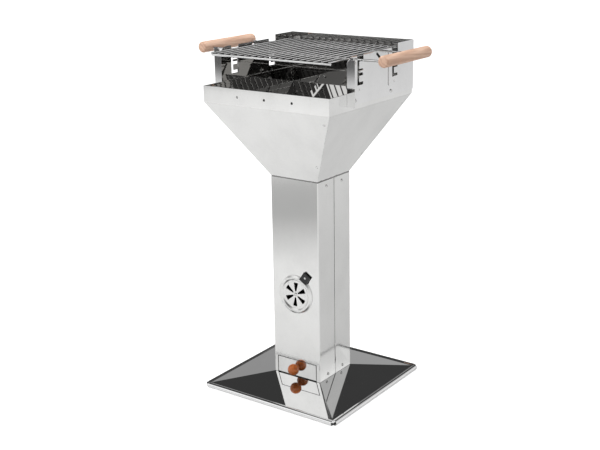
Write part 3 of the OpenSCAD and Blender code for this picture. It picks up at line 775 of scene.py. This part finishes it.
@dataclass
class Studio:
    """A pale floor with patches of painted shade, and three softboxes, in a bright room with a dark curtain, a dark
    ceiling and a high window.
    """

    floor_half: float = 30.0
    floor_colour: Colour = (0.82, 0.82, 0.82)
    shade_spots: tuple[FloorShadeSpot, ...] = (
        FloorShadeSpot((-1.06, -1.54, 0.0), 0.25, 0.85, 0.5),
        FloorShadeSpot((-3.57, -5.57, 0.0), 1.2, 2.0, 0.12),
    )
    near_glow: float = 0.16
    near_span: Span = (-0.3, 0.6)
    far_glow: float = 0.5
    far_span: Span = (1.2, 4.0)
    white_span: Span = (0.5, 2.0)
    white_levels: Span = (0.75, 1.05)
    softboxes: tuple[Softbox, ...] = (
        Softbox("Overhead softbox", (0.0, -0.3, 3.2), 0.4, 3.4, 92.0),
        Softbox("Left softbox", (-2.1, -2.4, 2.0), 0.3, 2.2, 18.0),
        Softbox("Right softbox", (1.5, 2.6, 1.65), 0.3, 1.8, 5.0, mirrored=True),
    )
    curtain_way: Point = (-0.582, 0.813, 0.0)
    curtain_edge: Span = (0.76, 0.92)
    curtain_levels: Stops = ((0.0, 0.85), (0.03, 0.45), (0.22, 0.32), (0.38, 0.10), (0.5, 0.05), (1.0, 0.03))
    room_levels: Stops = ((0.0, 0.95), (0.2, 0.95), (0.36, 0.30), (0.55, 0.10), (1.0, 0.05))
    window_way: Point = (-0.53, -0.555, 0.641)
    window_edge: Span = (0.93, 0.95)
    window_level: float = 1.15

    def build(self) -> None:
        """Makes the floor, the lamps and the world."""
        self._floor()
        for softbox in self.softboxes:
            softbox.build()
        self._world()
        bpy.context.scene.view_settings.view_transform = "Standard"

    def _floor(self) -> None:
        """A wide pale floor that shows white to the camera, keeps the grill's shadow and has patches of painted shade
        that the sheets mirror.
        """
        bpy.ops.object.select_all(action="DESELECT")
        bpy.ops.mesh.primitive_plane_add(size=2 * self.floor_half, location=(0, 0, 0))
        floor = bpy.context.object
        floor.name = "Studio_floor"
        made, graph = new_material("Studio floor")
        path = graph.add("ShaderNodeLightPath").outputs
        place = graph.add("ShaderNodeTexCoord").outputs["Object"]
        away = graph.vector("LENGTH", place, out="Value")
        behind = graph.add("ShaderNodeSeparateXYZ", {"Vector": place}).outputs["Y"]
        # Each patch of painted shade darkens the floor's colour and its glow to glossy rays
        shade: float | bpy.types.NodeSocket = 1.0
        for shade_spot in self.shade_spots:
            apart = graph.vector("DISTANCE", place, shade_spot.place, "Value")
            shade = graph.math("MULTIPLY", shade, graph.span(apart, shade_spot.inner, shade_spot.outer, shade_spot.level, 1.0))
        tone = graph.blend(shade, BLACK, opaque(self.floor_colour))
        matt = graph.add("ShaderNodeBsdfDiffuse", {"Color": tone})
        near = graph.span(behind, *self.near_span, self.near_glow, 0.0)
        mirrored = graph.math("ADD", near, graph.span(away, *self.far_span, 0.0, self.far_glow))
        mirrored = graph.math("MULTIPLY", path["Is Glossy Ray"], graph.math("MULTIPLY", mirrored, shade))
        white = graph.span(away, *self.white_span, *self.white_levels)
        seen = graph.math("MULTIPLY", path["Is Camera Ray"], white)
        glow = graph.add("ShaderNodeEmission", {"Color": WHITE, "Strength": graph.math("ADD", seen, mirrored)})
        both = graph.add("ShaderNodeAddShader", {"0": matt.outputs[0], "1": glow.outputs[0]})
        graph.add("ShaderNodeOutputMaterial", {"Surface": both.outputs[0]})
        floor.data.materials.append(made)

    def _world(self) -> None:
        """Lights the room, with the curtain beyond the grill and the window that the hopper and the base mirror."""
        world = bpy.data.worlds.new("Studio")
        bpy.context.scene.world = world
        world.use_nodes = True
        graph = Graph(world.node_tree)
        direction = graph.add("ShaderNodeTexCoord").outputs["Generated"]
        height = graph.add("ShaderNodeSeparateXYZ", {"Vector": direction}).outputs["Z"]
        level_way = graph.vector("NORMALIZE", graph.vector("MULTIPLY", direction, (1.0, 1.0, 0.0)))
        facing = graph.vector("DOT_PRODUCT", level_way, self.curtain_way, "Value")
        curtain = graph.span(facing, *self.curtain_edge, 0.0, 1.0)
        room = self._ramp(graph, height, self.room_levels)
        ring = graph.blend(curtain, room, self._ramp(graph, height, self.curtain_levels))
        across = graph.vector("DOT_PRODUCT", direction, self.window_way, "Value")
        window = graph.span(across, *self.window_edge, 0.0, 1.0)
        ring = graph.blend(window, ring, opaque((self.window_level,) * 3))
        seen = graph.add("ShaderNodeLightPath").outputs["Is Camera Ray"]
        colour = graph.blend(seen, ring, WHITE)
        back = graph.add("ShaderNodeBackground", {"Color": colour, "Strength": 1.0})
        graph.add("ShaderNodeOutputWorld", {"Surface": back.outputs[0]})

    @staticmethod
    def _ramp(graph: Graph, value: bpy.types.NodeSocket, stops: Stops) -> bpy.types.NodeSocket:
        """Adds a grey ramp.

        Args:
            graph: The graph to add it to.
            value: The socket that drives it.
            stops: Places and grey levels, from low to high.

        Returns:
            The ramp's colour socket.
        """
        ramp = graph.add("ShaderNodeValToRGB", {"Fac": value})
        elements = ramp.color_ramp.elements
        elements.remove(elements[1])
        elements[0].color = opaque((stops[0][1],) * 3)
        for at, level in stops[1:]:
            elements.new(at).color = opaque((level,) * 3)
        return ramp.outputs[0]


def sub_assemblies(bench: Bench) -> list[SubAssembly]:
    """Lists the grill's sub-assemblies.

    Args:
        bench: The shared finishes and moves.

    Returns:
        The sub-assemblies in the order in which they are put together.
    """
    sides = ("left", "right")
    base = SubAssembly(bench, "Base", {"base_plate": Finish.MIRROR}, smooth=ROLLED_LIMIT)
    column = SubAssembly(
        bench, "Column",
        {"column_front_shell": Finish.SHEET, "column_rear_shell": Finish.SHEET},
        inner=Finish.UNPOLISHED,
    )
    drawer = SubAssembly(
        bench, "Ash drawer",
        {"drawer_tray": Finish.TRAY, "drawer_front": Finish.SHEET} | {f"drawer_runner_{s}": Finish.TRAY for s in sides},
        {"drawer_knob": Finish.KNOB, "drawer_knob_screw": Finish.FASTENER},
    )
    vent = SubAssembly(
        bench, "Air vent", {"vent_disc": Finish.VENT, "vent_grip": Finish.GRIP},
        {"vent_grip_rivet": Finish.FASTENER, "vent_pivot_rivet": Finish.FASTENER},
    )
    funnel = SubAssembly(
        bench, "Funnel", {f"funnel_panel_{s}": Finish.FUNNEL for s in ("front", "right", "back", "left")},
        {"funnel_rivets": Finish.FASTENER}, Finish.HEARTH,
    )
    shield = SubAssembly(
        bench, "Wind shield",
        {f"wind_shield_{s}": Finish.SHIELD for s in ("left", "right", "back")},
        {n: Finish.FASTENER for n in ("wind_shield_nuts", "wind_shield_corner_rivets")},
        Finish.HEARTH,
    )
    brackets = SubAssembly(
        bench, "Height brackets",
        {f"height_bracket_{end}_{s}": Finish.SHIELD for end in ("front", "rear") for s in sides},
        {"bracket_rivets": Finish.FASTENER}, Finish.HEARTH,
    )
    grate = SubAssembly(
        bench, "Cooking grate",
        {f"handle_{s}": Finish.HANDLE for s in sides},
        {n: Finish.WIRE for n in ("grate_grid", "grate_arm_front", "grate_arm_rear")},
    )
    coal = SubAssembly(bench, "Charcoal grate", {}, {"charcoal_grate": Finish.WIRE})
    return [base, column, drawer, vent, funnel, shield, brackets, grate, coal]


def screw_rows() -> list[ScrewRows]:
    """Lists the rows of screws, with their places from the part's source.

    Returns:
        The rows on the base, at the column's top and on the wind shield.
    """
    sides = (90, 180, 270)
    column = {"sides": sides, "apart": 66 * MM, "head_face": COLUMN_HALF + 2.1 * MM, "recess": 3.6 * MM}
    shield = {"sides": sides, "apart": 156 * MM, "head_face": 183.2 * MM, "recess": 4.4 * MM}
    return [
        ScrewRows("column_foot_screws", height=42 * MM, **column),
        ScrewRows("column_top_screws", height=533 * MM, **column),
        ScrewRows("wind_shield_screws", height=756 * MM, **shield),
    ]


def main() -> None:
    """Builds the studio and the grill."""
    logging.basicConfig(level=logging.INFO, format="%(message)s")
    PhotoCamera().build()
    Studio().build()
    bench = Bench()
    for part in sub_assemblies(bench):
        part.build()
    for rows in screw_rows():
        RecessedScrews(bench, rows).build()


if __name__ == "__main__":
    main()
